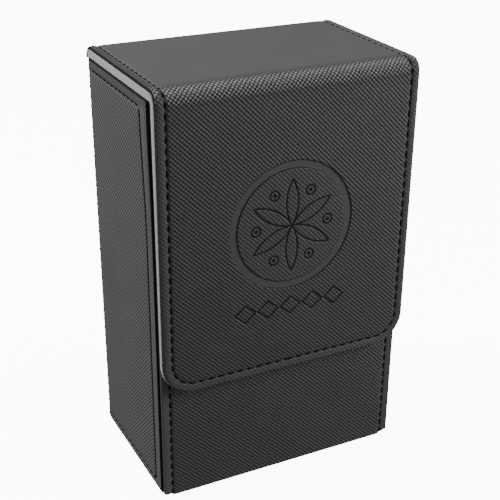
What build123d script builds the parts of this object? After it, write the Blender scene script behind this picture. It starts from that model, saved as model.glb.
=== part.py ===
from build123d import *
import os

# Card deck box for one deck of tall cards: a rigid upright box with a lid that is hinged
# along its rear top edge. The lid is a flat top and a long front flap, folded over the
# front top edge. Everything is board, wrapped outside in leather and inside in lining.
# Millimetres. +Z is up, the front faces -Y, and the origin is the middle of the footprint.

# ---------------------------------------------------------------- driving dimensions
HEIGHT = 130.0  # floor to the top of the closed lid
BODY_WIDTH = 81.0  # outside of the box, side to side
BODY_DEPTH = 50.8  # outside of the box, front to back
LID_WIDTH = 81.9  # the lid overhangs both sides

LEATHER = 0.85
BOARD = 1.9  # greyboard in the front, back, base, lid and flap
SIDE_BOARD = 1.5
SIDE_FOAM = 1.0  # padding under the leather of each side
LINING = 0.5

RIM_GAP = 0.45  # between the box's rim and the closed lid
FLAP_GAP = 0.12  # between the box's front and the closed flap
HINGE_GAP = 0.6  # bare stretch beside each bend, so that the stiff panels can turn

REAR_BEND = 3.4  # outer radius of the lid over the rear top edge
FRONT_BEND = 4.0  # outer radius of the fold between lid and flap
REAR_CORNER = 1.2  # outer radius of the box's upright rear corners
EDGE_ROUND = 0.4  # rounding of the front's outer edges

FLAP_BOTTOM = 38.2  # height of the flap's lower edge
FLAP_CORNER = 10.0  # radius of the flap's lower corners
LINING_INSET = 0.25  # the lid's lining stops short of its leather

THREAD_WIDTH = 0.6
THREAD_DEPTH = 0.35
LID_SEAM_INSET = 3.0  # from the lid's and flap's edges
FRONT_SEAM_INSET = 2.8  # from the front's upright edges
SIDE_SEAM_FRONT = 6.9  # from the side's front edge
SIDE_SEAM_REAR = 1.6
SIDE_SEAM_TOP = 3.4
SIDE_SEAM_BOTTOM = 2.5
BACK_SEAM_INSET = 3.3  # from the back leather's upright edges

EMBLEM_HEIGHT = 85.7  # centre of the pressed ring on the flap
EMBLEM_RADIUS = 19.8
EMBLEM_BAND = 2.3
EMBLEM_DEPTH = 0.25

MAGNET_RADIUS = 5.0
MAGNET_THICK = 1.2
MAGNET_SPREAD = 44.0  # between the two magnets' centres
MAGNET_HEIGHT = 50.0

# ---------------------------------------------------------------- derived positions
WALL = LEATHER + BOARD + LINING
SIDE_WALL = LEATHER + SIDE_FOAM + SIDE_BOARD + LINING
LID_THICK = LEATHER + BOARD + LINING

LID_X = LID_WIDTH / 2
LID_LINING_X = LID_X - LINING_INSET
BODY_X = BODY_WIDTH / 2
FLAP_Y = -(BODY_DEPTH + FLAP_GAP + LID_THICK) / 2  # outer face of the flap
BACK_Y = -FLAP_Y  # outer face of the back
FRONT_Y = BACK_Y - BODY_DEPTH  # outer face of the box's front
RIM_Z = HEIGHT - LID_THICK - RIM_GAP
BOARD_TOP = RIM_Z - LINING  # the lining is turned over the boards' top edges

INNER_X = BODY_X - SIDE_WALL
INNER_FRONT = FRONT_Y + WALL
INNER_BACK = BACK_Y - WALL

FRONT_BEND_CENTRE = (FLAP_Y + FRONT_BEND, HEIGHT - FRONT_BEND)
REAR_BEND_CENTRE = (BACK_Y - REAR_BEND, HEIGHT - REAR_BEND)
LID_FRONT = FLAP_Y + FRONT_BEND
LID_BACK = BACK_Y - REAR_BEND - HINGE_GAP
FLAP_TOP = HEIGHT - FRONT_BEND - HINGE_GAP

FLAP_BOARD_Y = FLAP_Y + LEATHER
FLAP_MAGNET_Y = FLAP_BOARD_Y + BOARD - MAGNET_THICK
FLAP_SEAM_BOTTOM = FLAP_BOTTOM + LID_SEAM_INSET
FLAP_SEAM_CORNER = FLAP_CORNER - LID_SEAM_INSET
LINING_BOTTOM = FLAP_BOTTOM + LINING_INSET
LINING_CORNER = FLAP_CORNER - LINING_INSET

LID_SEAM_X = LID_X - LID_SEAM_INSET
FRONT_SEAM_X = BODY_X - FRONT_SEAM_INSET
BACK_LEATHER_X = BODY_X - REAR_CORNER
BACK_SEAM_X = BACK_LEATHER_X - BACK_SEAM_INSET
SEAM_END = 2.0  # the upright seams stop this far from the rim and the floor


# ---------------------------------------------------------------- shared shapes
def slab(x, y, z, mode=Mode.ADD):
    """Add or cut a block that fills the ranges x, y and z, each a (low, high) pair."""
    centre = (sum(x) / 2, sum(y) / 2, sum(z) / 2)
    with Locations(centre):
        Box(x[1] - x[0], y[1] - y[0], z[1] - z[0], mode=mode)


def quarter_ring(centre, outer, inner, towards_back):
    """Draw a quarter ring in the YZ plane, above its centre, at the front or the back."""
    side = Align.MIN if towards_back else Align.MAX
    with Locations(centre):
        Circle(outer)
        Circle(inner, mode=Mode.SUBTRACT)
        Rectangle(outer, outer, align=(side, Align.MIN), mode=Mode.INTERSECT)


def flap_outline(half_width, bottom, corner, mode=Mode.ADD):
    """Draw the flap's face in the XZ plane: square at the top, round at the lower corners."""
    with BuildLine() as outline:
        Polyline((-half_width, bottom + corner), (-half_width, FLAP_TOP), (half_width, FLAP_TOP),
                 (half_width, bottom + corner))
        RadiusArc((half_width, bottom + corner), (half_width - corner, bottom), corner)
        Line((half_width - corner, bottom), (corner - half_width, bottom))
        RadiusArc((corner - half_width, bottom), (-half_width, bottom + corner), corner)
    make_face(outline.edges(), mode=mode)


def flap_seam():
    """Draw the flap's seam, a band as wide as the thread, down both sides and round."""
    half = THREAD_WIDTH / 2
    flap_outline(LID_SEAM_X + half, FLAP_SEAM_BOTTOM - half, FLAP_SEAM_CORNER + half)
    flap_outline(LID_SEAM_X - half, FLAP_SEAM_BOTTOM + half, FLAP_SEAM_CORNER - half, Mode.SUBTRACT)


def flap_pocket():
    """Draw the flap board's face, which the turned edge of the lining surrounds."""
    flap_outline(LID_LINING_X - LINING, LINING_BOTTOM + LINING, LINING_CORNER - LINING)
    with Locations((0, FLAP_TOP)):
        Rectangle(LID_WIDTH, LINING, align=(Align.CENTER, Align.MAX), mode=Mode.SUBTRACT)


def upright_seams(seam_x, y, mode=Mode.ADD):
    """Add or cut one upright run of thread at each side."""
    for x in (-seam_x, seam_x):
        slab((x - THREAD_WIDTH / 2, x + THREAD_WIDTH / 2), y, (SEAM_END, RIM_Z - SEAM_END), mode)


def side_seam(sign, mode=Mode.ADD):
    """Add or cut the rectangle of thread on one side of the box; sign is -1 or 1."""
    face = sign * BODY_X
    x = tuple(sorted((face, face - sign * THREAD_DEPTH)))
    half = THREAD_WIDTH / 2
    front = FRONT_Y + SIDE_SEAM_FRONT
    back = BACK_Y - SIDE_SEAM_REAR
    low = SIDE_SEAM_BOTTOM
    high = RIM_Z - SIDE_SEAM_TOP
    for y in (front, back):
        slab(x, (y - half, y + half), (low - half, high + half), mode)
    for z in (low, high):
        slab(x, (front + half, back - half), (z - half, z + half), mode)


def magnet_discs(face_y, mode=Mode.ADD):
    """Add or cut the pair of magnets whose outer faces lie at face_y, reaching towards +Y."""
    with BuildSketch(Plane.XZ.offset(-face_y)) as discs:
        with Locations((-MAGNET_SPREAD / 2, MAGNET_HEIGHT), (MAGNET_SPREAD / 2, MAGNET_HEIGHT)):
            Circle(MAGNET_RADIUS)
    extrude(discs.sketch, amount=-MAGNET_THICK, mode=mode)


def save(part, name):
    """Label a finished part and write its STEP file."""
    part.part.label = name
    export_step(part.part, f"parts/{name}.step")


os.makedirs("parts", exist_ok=True)

# ---------------------------------------------------------------- box: greyboard shell
BOX_MAGNET_Y = FRONT_Y + LEATHER

with BuildPart() as front_board:
    slab((-INNER_X - LINING, INNER_X + LINING), (FRONT_Y + LEATHER, FRONT_Y + LEATHER + BOARD),
         (LEATHER, BOARD_TOP))
    magnet_discs(BOX_MAGNET_Y, Mode.SUBTRACT)
save(front_board, "front_board")

with BuildPart() as box_magnets:
    magnet_discs(BOX_MAGNET_Y)
save(box_magnets, "box_magnets")

with BuildPart() as back_board:
    slab((-INNER_X - LINING, INNER_X + LINING), (BACK_Y - LEATHER - BOARD, BACK_Y - LEATHER),
         (LEATHER, BOARD_TOP))
save(back_board, "back_board")

with BuildPart() as base_board:
    slab((-INNER_X - LINING, INNER_X + LINING),
         (FRONT_Y + LEATHER + BOARD, BACK_Y - LEATHER - BOARD), (LEATHER, LEATHER + BOARD))
save(base_board, "base_board")

# The side boards stop just short of the back leather.
SIDE_BOARD_OUTER = INNER_X + LINING + SIDE_BOARD
SIDE_BOARD_BACK = BACK_Y - LEATHER - 0.4

for side, sign in (("left", -1), ("right", 1)):
    with BuildPart() as side_board:
        slab(tuple(sorted((sign * (INNER_X + LINING), sign * SIDE_BOARD_OUTER))),
             (FRONT_Y + LEATHER, SIDE_BOARD_BACK), (LEATHER, BOARD_TOP))
    save(side_board, f"{side}_side_board")

    with BuildPart() as side_foam:
        slab(tuple(sorted((sign * SIDE_BOARD_OUTER, sign * (BODY_X - LEATHER)))),
             (FRONT_Y + LEATHER, BACK_Y - REAR_CORNER), (LEATHER, BOARD_TOP))
    save(side_foam, f"{side}_side_foam")

# ---------------------------------------------------------------- box: leather outside
with BuildPart() as front_leather:
    slab((-BODY_X, BODY_X), (FRONT_Y, FRONT_Y + LEATHER), (0, RIM_Z))
    outer_face = front_leather.faces().sort_by(Axis.Y)[0]
    fillet(outer_face.edges(), radius=EDGE_ROUND)
    upright_seams(FRONT_SEAM_X, (FRONT_Y, FRONT_Y + THREAD_DEPTH), Mode.SUBTRACT)
save(front_leather, "front_leather")

with BuildPart() as front_thread:
    upright_seams(FRONT_SEAM_X, (FRONT_Y, FRONT_Y + THREAD_DEPTH))
save(front_thread, "front_thread")

with BuildPart() as back_leather:
    slab((-BACK_LEATHER_X, BACK_LEATHER_X), (BACK_Y - LEATHER, BACK_Y), (0, RIM_Z))
    upright_seams(BACK_SEAM_X, (BACK_Y - THREAD_DEPTH, BACK_Y), Mode.SUBTRACT)
save(back_leather, "back_leather")

with BuildPart() as back_thread:
    upright_seams(BACK_SEAM_X, (BACK_Y - THREAD_DEPTH, BACK_Y))
save(back_thread, "back_thread")

with BuildPart() as base_leather:
    slab((-BODY_X + LEATHER, BODY_X - LEATHER), (FRONT_Y + LEATHER, BACK_Y - REAR_CORNER),
         (0, LEATHER))
    slab((-BACK_LEATHER_X, BACK_LEATHER_X), (BACK_Y - REAR_CORNER, BACK_Y - LEATHER), (0, LEATHER))
save(base_leather, "base_leather")

# Each side leather is a flat panel that turns round the upright rear corner.
for side, sign in (("left", -1), ("right", 1)):
    corner_centre = (sign * BACK_LEATHER_X, BACK_Y - REAR_CORNER)
    outward = Align.MAX if sign < 0 else Align.MIN
    with BuildPart() as side_leather:
        with BuildSketch(Plane.XY):
            with Locations(corner_centre):
                Circle(REAR_CORNER)
                Circle(REAR_CORNER - LEATHER, mode=Mode.SUBTRACT)
                Rectangle(REAR_CORNER, REAR_CORNER, align=(outward, Align.MIN), mode=Mode.INTERSECT)
            with Locations((sign * (BODY_X - LEATHER / 2), FRONT_Y + LEATHER)):
                Rectangle(LEATHER, BODY_DEPTH - REAR_CORNER - LEATHER, align=(Align.CENTER, Align.MIN))
        extrude(amount=RIM_Z)
        side_seam(sign, Mode.SUBTRACT)
    save(side_leather, f"{side}_side_leather")

    with BuildPart() as side_thread:
        side_seam(sign)
    save(side_thread, f"{side}_side_thread")

# ---------------------------------------------------------------- box: lining inside
# Each lining sheet is turned outwards over the rim of its board.
with BuildPart() as front_lining:
    slab((-INNER_X - LINING, INNER_X + LINING), (INNER_FRONT - LINING, INNER_FRONT),
         (LEATHER + BOARD, RIM_Z))
    slab((-INNER_X - LINING, INNER_X + LINING), (FRONT_Y + LEATHER, INNER_FRONT - LINING),
         (BOARD_TOP, RIM_Z))
save(front_lining, "front_lining")

with BuildPart() as back_lining:
    slab((-INNER_X - LINING, INNER_X + LINING), (INNER_BACK, INNER_BACK + LINING),
         (LEATHER + BOARD, RIM_Z))
    slab((-INNER_X - LINING, INNER_X + LINING), (INNER_BACK + LINING, BACK_Y - LEATHER),
         (BOARD_TOP, RIM_Z))
save(back_lining, "back_lining")

with BuildPart() as base_lining:
    slab((-INNER_X, INNER_X), (INNER_FRONT, INNER_BACK), (LEATHER + BOARD, WALL))
save(base_lining, "base_lining")

for side, sign in (("left", -1), ("right", 1)):
    with BuildPart() as side_lining:
        slab(tuple(sorted((sign * INNER_X, sign * (INNER_X + LINING)))), (INNER_FRONT, INNER_BACK),
             (LEATHER + BOARD, RIM_Z))
        slab(tuple(sorted((sign * (INNER_X + LINING), sign * (BODY_X - LEATHER)))),
             (FRONT_Y + LEATHER, BACK_Y - REAR_CORNER), (BOARD_TOP, RIM_Z))
    save(side_lining, f"{side}_side_lining")

# ---------------------------------------------------------------- bend over the rear edge
with BuildPart() as hinge_leather:
    with BuildSketch(Plane.YZ):
        quarter_ring(REAR_BEND_CENTRE, REAR_BEND, REAR_BEND - LEATHER, towards_back=True)
        with Locations((BACK_Y, RIM_Z)):
            Rectangle(LEATHER, HEIGHT - REAR_BEND - RIM_Z, align=(Align.MAX, Align.MIN))
    extrude(amount=LID_X, both=True)
save(hinge_leather, "hinge_leather")

with BuildPart() as hinge_lining:
    with BuildSketch(Plane.YZ):
        quarter_ring(REAR_BEND_CENTRE, REAR_BEND - LEATHER, REAR_BEND - LID_THICK, towards_back=True)
        with Locations((BACK_Y - LEATHER, RIM_Z)):
            Rectangle(BOARD + LINING, HEIGHT - REAR_BEND - RIM_Z, align=(Align.MAX, Align.MIN))
    extrude(amount=LID_LINING_X, both=True)
save(hinge_lining, "hinge_lining")

# ---------------------------------------------------------------- lid: the flat top
LID_UNDER = HEIGHT - LID_THICK

with BuildPart() as lid_leather:
    slab((-LID_X, LID_X), (LID_FRONT, LID_BACK), (HEIGHT - LEATHER, HEIGHT))
    for seam_x in (-LID_SEAM_X, LID_SEAM_X):
        slab((seam_x - THREAD_WIDTH / 2, seam_x + THREAD_WIDTH / 2), (LID_FRONT, LID_BACK),
             (HEIGHT - THREAD_DEPTH, HEIGHT), Mode.SUBTRACT)
save(lid_leather, "lid_leather")

with BuildPart() as lid_board:
    slab((-LID_LINING_X + LINING, LID_LINING_X - LINING), (LID_FRONT + LINING, LID_BACK - LINING),
         (LID_UNDER + LINING, HEIGHT - LEATHER))
save(lid_board, "lid_board")

# The lining is a shallow tray: its edges are turned up round the board.
with BuildPart() as lid_lining:
    slab((-LID_LINING_X, LID_LINING_X), (LID_FRONT, LID_BACK), (LID_UNDER, HEIGHT - LEATHER))
    slab((-LID_LINING_X + LINING, LID_LINING_X - LINING), (LID_FRONT + LINING, LID_BACK - LINING),
         (LID_UNDER + LINING, HEIGHT - LEATHER), Mode.SUBTRACT)
save(lid_lining, "lid_lining")

with BuildPart() as fold_leather:
    with BuildSketch(Plane.YZ):
        quarter_ring(FRONT_BEND_CENTRE, FRONT_BEND, FRONT_BEND - LEATHER, towards_back=False)
    extrude(amount=LID_X, both=True)
    for seam_x in (-LID_SEAM_X, LID_SEAM_X):
        with BuildSketch(Plane.YZ.offset(seam_x)):
            quarter_ring(FRONT_BEND_CENTRE, FRONT_BEND, FRONT_BEND - THREAD_DEPTH, towards_back=False)
        extrude(amount=THREAD_WIDTH / 2, both=True, mode=Mode.SUBTRACT)
save(fold_leather, "fold_leather")

with BuildPart() as fold_lining:
    with BuildSketch(Plane.YZ):
        quarter_ring(FRONT_BEND_CENTRE, FRONT_BEND - LEATHER, FRONT_BEND - LID_THICK,
                     towards_back=False)
    extrude(amount=LID_LINING_X, both=True)
save(fold_lining, "fold_lining")

with BuildPart() as lid_thread:
    for seam_x in (-LID_SEAM_X, LID_SEAM_X):
        with BuildSketch(Plane.YZ.offset(seam_x)):
            quarter_ring(FRONT_BEND_CENTRE, FRONT_BEND, FRONT_BEND - THREAD_DEPTH, towards_back=False)
            with Locations((LID_FRONT, HEIGHT)):
                Rectangle(LID_BACK - LID_FRONT, THREAD_DEPTH, align=(Align.MIN, Align.MAX))
        extrude(amount=THREAD_WIDTH / 2, both=True)
save(lid_thread, "lid_thread")

# ---------------------------------------------------------------- flap: the front of the lid
with BuildPart() as flap_leather:
    with BuildSketch(Plane.XZ.offset(-FLAP_Y)):
        flap_outline(LID_X, FLAP_BOTTOM, FLAP_CORNER)
    extrude(amount=-LEATHER)
    with BuildSketch(Plane.XZ.offset(-FLAP_Y)):
        flap_seam()
    extrude(amount=-THREAD_DEPTH, mode=Mode.SUBTRACT)
    with BuildSketch(Plane.XZ.offset(-FLAP_Y)):
        with Locations((0, EMBLEM_HEIGHT)):
            Circle(EMBLEM_RADIUS)
            Circle(EMBLEM_RADIUS - EMBLEM_BAND, mode=Mode.SUBTRACT)
    extrude(amount=-EMBLEM_DEPTH, mode=Mode.SUBTRACT)
save(flap_leather, "flap_leather")

with BuildPart() as flap_thread:
    with BuildSketch(Plane.XZ.offset(-FLAP_Y)):
        flap_seam()
    extrude(amount=-THREAD_DEPTH)
save(flap_thread, "flap_thread")

with BuildPart() as flap_board:
    with BuildSketch(Plane.XZ.offset(-FLAP_BOARD_Y)):
        flap_pocket()
    extrude(amount=-BOARD)
    magnet_discs(FLAP_MAGNET_Y, Mode.SUBTRACT)
save(flap_board, "flap_board")

with BuildPart() as flap_magnets:
    magnet_discs(FLAP_MAGNET_Y)
save(flap_magnets, "flap_magnets")

with BuildPart() as flap_lining:
    with BuildSketch(Plane.XZ.offset(-FLAP_BOARD_Y)):
        flap_outline(LID_LINING_X, LINING_BOTTOM, LINING_CORNER)
    extrude(amount=-(BOARD + LINING))
    with BuildSketch(Plane.XZ.offset(-FLAP_BOARD_Y)):
        flap_pocket()
    extrude(amount=-BOARD, mode=Mode.SUBTRACT)
save(flap_lining, "flap_lining")
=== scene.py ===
import math

import bmesh
import bpy
import numpy as np
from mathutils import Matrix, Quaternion, Vector


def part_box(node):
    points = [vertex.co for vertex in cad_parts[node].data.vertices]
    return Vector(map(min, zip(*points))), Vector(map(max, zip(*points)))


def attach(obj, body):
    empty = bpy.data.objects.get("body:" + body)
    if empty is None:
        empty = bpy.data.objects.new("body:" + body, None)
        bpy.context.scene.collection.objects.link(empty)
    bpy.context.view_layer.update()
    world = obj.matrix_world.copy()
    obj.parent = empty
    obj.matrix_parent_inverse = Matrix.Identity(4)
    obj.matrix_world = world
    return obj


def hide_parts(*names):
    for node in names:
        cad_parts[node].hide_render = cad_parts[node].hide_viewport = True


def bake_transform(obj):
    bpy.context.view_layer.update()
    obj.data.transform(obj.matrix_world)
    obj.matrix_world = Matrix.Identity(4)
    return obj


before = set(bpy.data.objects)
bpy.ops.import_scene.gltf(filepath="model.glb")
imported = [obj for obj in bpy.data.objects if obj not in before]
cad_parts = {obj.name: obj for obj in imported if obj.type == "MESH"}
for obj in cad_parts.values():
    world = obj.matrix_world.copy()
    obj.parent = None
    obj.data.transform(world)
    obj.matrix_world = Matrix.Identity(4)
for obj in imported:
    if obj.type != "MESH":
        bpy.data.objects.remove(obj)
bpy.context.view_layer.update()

# Lengths in this script are millimetres; make_mesh turns them into metres.
MM = 0.001


def span(node):
    """Lowest and highest corner of a CAD node, in millimetres."""
    low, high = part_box(node)
    return low / MM, high / MM


# ------------------------------------------------------------------ sizes read from the frame
LID_LOW, LID_HIGH = span("lid_leather")
FOLD_LOW, FOLD_HIGH = span("fold_leather")
HINGE_LOW, HINGE_HIGH = span("hinge_leather")
FLAP_LOW = span("flap_leather")[0]
FRONT_LOW, FRONT_HIGH = span("front_leather")
BACK_HIGH = span("back_leather")[1]
BASE_LOW, BASE_HIGH = span("base_leather")
BASE_LINING_LOW, BASE_LINING_HIGH = span("base_lining")
SIDE_THREAD_LOW, SIDE_THREAD_HIGH = span("left_side_thread")

HEIGHT = LID_HIGH.z
LEATHER = LID_HIGH.z - LID_LOW.z
LID_THICK = HEIGHT - span("lid_lining")[0].z
LID_X = LID_HIGH.x
RIM_Z = FRONT_HIGH.z
FLAP_Y = FLAP_LOW.y
FRONT_Y = FRONT_LOW.y
BACK_Y = BACK_HIGH.y
BODY_X = FRONT_HIGH.x
REAR_CORNER = BODY_X - BACK_HIGH.x
FRONT_BEND = FOLD_HIGH.z - FOLD_LOW.z
REAR_BEND = HINGE_HIGH.y - HINGE_LOW.y
FLAP_BOTTOM = FLAP_LOW.z
LID_BACK = LID_HIGH.y
INNER_X = BASE_LINING_HIGH.x
INNER_FRONT = BASE_LINING_LOW.y
INNER_BACK = BASE_LINING_HIGH.y
LINING = BASE_LINING_HIGH.z - BASE_LINING_LOW.z
FLOOR_TOP = BASE_LINING_HIGH.z

CAD_THREAD = 0.3  # half the width of a CAD thread
LID_SEAM_X = span("lid_thread")[1].x - CAD_THREAD
FRONT_SEAM_X = span("front_thread")[1].x - CAD_THREAD
BACK_SEAM_X = span("back_thread")[1].x - CAD_THREAD
SIDE_SEAM_FRONT = SIDE_THREAD_LOW.y + CAD_THREAD
SIDE_SEAM_LOW = SIDE_THREAD_LOW.z + CAD_THREAD
SIDE_SEAM_HIGH = SIDE_THREAD_HIGH.z - CAD_THREAD

# ------------------------------------------------------------------ sizes of the finish
FLAP_CORNER = 10.0
EDGE_SHOWN = 0.3  # the padded board peeps out this far beyond the strip's leather
EMBOSS = 0.725  # rows of the cross grain per millimetre, across and up
STITCH_PITCH = 3.15
STITCH_LENGTH = 2.3
THREAD_RADIUS = 0.26
STITCH_SINK = 0.24  # depth of a stitch's middle below the leather around it
FLANGE_RISE = 1.3  # the sewn flanges stop this far above the front's lower edge

# The flap's ornament: a ring round a rosette of six petals and six dots, and a row of lozenges below.
EMBLEM_Z = 85.7
EMBLEM_RADIUS = 19.8
EMBLEM_BAND = 2.3
ROSETTE = 14.2
SIXTH = math.radians(60)
DOT_CIRCLE = 11.6
DOT_RING = 1.45
DOT_RADIUS = 0.3
ORNAMENT_Z = 60.0
LOZENGES = 5
LOZENGE = 2.8
LOZENGE_PITCH = 7.4
LOZENGE_SLOPE = 0.85
LOZENGE_SCALE = 1.3  # brings the lozenge's measure to a distance from its line
FAR = 9.0  # stands for a distance at which nothing is pressed

# One strip runs from the back's top edge over the lid and down the flap. s is the distance
# along its outer face and x goes across it.
S_BEND = HEIGHT - REAR_BEND - RIM_Z
S_TOP = S_BEND + math.pi / 2 * REAR_BEND
S_HINGE_END = S_TOP + (BACK_Y - REAR_BEND - LID_BACK)
S_FOLD = S_TOP + (BACK_Y - REAR_BEND) - (FLAP_Y + FRONT_BEND)
S_FLAP = S_FOLD + math.pi / 2 * FRONT_BEND
S_END = S_FLAP + HEIGHT - FRONT_BEND - FLAP_BOTTOM


# ------------------------------------------------------------------ mesh helpers
def runs(*parts):
    """One rising list of positions from (start, end, step) stretches that follow each other."""
    pieces = [np.linspace(a, b, max(2, int(round(abs(b - a) / step)) + 1)) for a, b, step in parts]
    return np.concatenate([pieces[0]] + [piece[1:] for piece in pieces[1:]])


def edged(low, high, step, *edges):
    """Positions from low to high, finer towards both ends. edges are (reach, step), the outermost first."""
    first, last = [], []
    at = 0.0
    for reach, fine in edges:
        first.append((low + at, low + reach, fine))
        last.insert(0, (high - reach, high - at, fine))
        at = reach
    return runs(*first, (low + at, high - at, step), *last)


def smooth(x):
    """Smooth step from 0 at x = 0 to 1 at x = 1."""
    x = np.clip(x, 0, 1)
    return x * x * (3 - 2 * x)


def bell(distance, width):
    """1 on a line, falling to nothing within about two widths of it."""
    return np.exp(-((distance / width) ** 2))


def edge_drop(distance, radius):
    """How far a rounded edge falls away, at a distance in from it."""
    inside = np.clip(radius - distance, 0, radius)
    return radius - np.sqrt(np.maximum(radius**2 - inside**2, 0))


def thin_out(values, stride):
    """Every stride-th value, keeping both ends."""
    kept = values[::stride]
    return kept if kept[-1] == values[-1] else np.append(kept, values[-1])


def zip_sides(outer, outer_at, inner, inner_at):
    """Triangles that join two runs of vertices with different spacing."""
    faces = []
    i = j = 0
    while i < len(outer) - 1 or j < len(inner) - 1:
        if j == len(inner) - 1 or (i < len(outer) - 1 and outer_at[i + 1] <= inner_at[j + 1]):
            faces.append((outer[i], outer[i + 1], inner[j]))
            i += 1
        else:
            faces.append((outer[i], inner[j + 1], inner[j]))
            j += 1
    return faces


def grid_faces(rows, columns, first=0):
    """Quads of a grid whose vertices are numbered row by row."""
    r, c = np.meshgrid(np.arange(rows - 1), np.arange(columns - 1), indexing="ij")
    a = (first + r * columns + c).ravel()
    return np.stack([a, a + 1, a + columns + 1, a + columns], 1).tolist()


def make_mesh(name, vertices, faces, uv=None, marks=None, materials=(), split_angle=50):
    """A mesh object from millimetre vertices, with a "sheet" UV map and named point marks."""
    mesh = bpy.data.meshes.new(name)
    mesh.from_pydata((np.asarray(vertices) * MM).tolist(), [], faces)
    for mark, values in (marks or {}).items():
        layer = mesh.attributes.new(mark, "FLOAT", "POINT")
        layer.data.foreach_set("value", np.asarray(values, np.float32))
    if uv is not None:
        layer = mesh.uv_layers.new(name="sheet")
        corner = np.zeros(len(mesh.loops), np.int32)
        mesh.loops.foreach_get("vertex_index", corner)
        layer.data.foreach_set("uv", np.asarray(uv, np.float32)[corner].ravel())
    bm = bmesh.new()
    bm.from_mesh(mesh)
    bmesh.ops.recalc_face_normals(bm, faces=bm.faces)
    bm.to_mesh(mesh)
    bm.free()
    mesh.polygons.foreach_set("use_smooth", np.ones(len(mesh.polygons), bool))
    mesh.set_sharp_from_angle(angle=math.radians(split_angle))
    for material in materials:
        mesh.materials.append(material)
    piece = bpy.data.objects.new(name, mesh)
    bpy.context.scene.collection.objects.link(piece)
    return piece


def sheet_shell(name, u, v, place, lift, under, marks, materials, warp=None, under_lift=None, stride=6):
    """A closed shell: a fine outer face lifted off the surface place(u, v), a coarse underside, and a rim.

    place gives points and normals; lift and marks take the warped u, v; under is the underside's depth.
    The rim, and the outer face where its ink and shade mark is deep, take the second material: edge ink on cut
    edges, painted shade in the seams, joints and turned edges.
    A mark called rim limits this to the stretch of the rim it covers."""

    def face(us, vs, offset):
        uu, vv = np.meshgrid(us, vs)
        uu, vv = uu.ravel(), vv.ravel()
        if warp:
            uu, vv = warp(uu, vv)
        points, normals = place(uu, vv)
        return points + normals * offset(uu, vv)[:, None], uu, vv

    depth = under_lift or (lambda a, b: np.full(len(a), -under))
    top, u_top, v_top = face(u, v, lift)
    ui, vi = thin_out(u, stride), thin_out(v, stride)
    low, u_low, v_low = face(ui, vi, depth)
    n, m = len(u), len(v)
    ni, mi = len(ui), len(vi)
    first = n * m
    faces = grid_faces(m, n) + grid_faces(mi, ni, first)
    top_id = np.arange(n * m).reshape(m, n)
    low_id = first + np.arange(ni * mi).reshape(mi, ni)
    for side_top, side_low, at_top, at_low in (
        (top_id[0], low_id[0], u, ui),
        (top_id[-1], low_id[-1], u, ui),
        (top_id[:, 0], low_id[:, 0], v, vi),
        (top_id[:, -1], low_id[:, -1], v, vi),
    ):
        faces += zip_sides(side_top.tolist(), at_top, side_low.tolist(), at_low)
    spread = 1 + under / max(abs(u[0]), abs(u[-1]))  # gives the shell's edges their own width on the map
    uv = np.concatenate([np.stack([u_top, v_top], 1), np.stack([u_low, v_low], 1) * spread])
    values = {}
    for mark, rule in marks.items():
        values[mark] = np.concatenate([rule(u_top, v_top), np.zeros(len(u_low))])
    piece = make_mesh(name, np.concatenate([top, low]), faces, uv, values, materials)
    if len(materials) > 1:
        corners = np.array(faces[:(n - 1) * (m - 1)])
        deep = values["ink_and_shade"][corners].mean(1) > 0.5
        index = np.zeros(len(faces), np.int32)
        index[:len(deep)] = deep
        rim = faces[(n - 1) * (m - 1) + (ni - 1) * (mi - 1):]
        index[-len(rim):] = ["rim" not in marks or values["rim"][list(corner)].max() > 0.5 for corner in rim]
        piece.data.polygons.foreach_set("material_index", index)
    return piece


# ------------------------------------------------------------------ materials
class Finish:
    """A node material, with short calls that add nodes to it."""

    def __init__(self, name):
        self.material = bpy.data.materials.new(name)
        self.material.use_nodes = True
        self.tree = self.material.node_tree

    def put(self, value, socket):
        """Links the socket to another one, or gives it a constant."""
        if isinstance(value, bpy.types.NodeSocket):
            self.tree.links.new(value, socket)
        else:
            socket.default_value = value

    def add(self, kind, **inputs):
        """A new node. Settings start with an underscore, and inputs are named, or numbered i0, i1, i2."""
        node = self.tree.nodes.new(kind)
        for key, value in inputs.items():
            if key[0] == "_":
                setattr(node, key[1:], value)
            elif key[1:].isdigit():
                self.put(value, node.inputs[int(key[1:])])
            else:
                self.put(value, node.inputs[key])
        return node

    def surface(self, **inputs):
        """Inputs of the shader, with _ for each space in a name."""
        shader = self.tree.nodes["Principled BSDF"]
        for key, value in inputs.items():
            self.put(value, shader.inputs[key.replace("_", " ")])

    def calc(self, operation, a, b=0.0, c=0.0):
        return self.add("ShaderNodeMath", _operation=operation, i0=a, i1=b, i2=c).outputs[0]

    def mix(self, factor, first, second):
        """The colour that goes from first at factor 0 to second at factor 1."""
        return self.add("ShaderNodeMix", _data_type="RGBA", i0=factor, i6=first, i7=second).outputs[2]

    def ramp(self, value, low, high, at_low=0.0, at_high=1.0):
        """A smooth step from at_low, where the value is low, to at_high, where it is high."""
        return self.add("ShaderNodeMapRange", _interpolation_type="SMOOTHSTEP", Value=value,
                        i1=low, i2=high, i3=at_low, i4=at_high).outputs[0]

    def noise(self, place, scale, detail, roughness=0.5):
        return self.add("ShaderNodeTexNoise", Vector=place, Scale=scale, Detail=detail,
                        Roughness=roughness).outputs["Fac"]

    def sheet(self):
        """Position on the piece's own sheet, in millimetres."""
        return self.add("ShaderNodeUVMap", _uv_map="sheet").outputs[0]

    def place(self):
        """Position on the object, in metres."""
        return self.add("ShaderNodeTexCoord").outputs["Object"]

    def mark(self, name):
        """One of the point marks of a mesh."""
        return self.add("ShaderNodeAttribute", _attribute_name=name).outputs["Fac"]

    def bump(self, height, strength, depth):
        """Relief, where a height of 1 stands for depth millimetres."""
        relief = self.add("ShaderNodeBump", Height=height, Strength=strength, Distance=depth * MM)
        self.surface(Normal=relief.outputs[0])


def grey(value):
    return (value, value, value * 1.01, 1)


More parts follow.
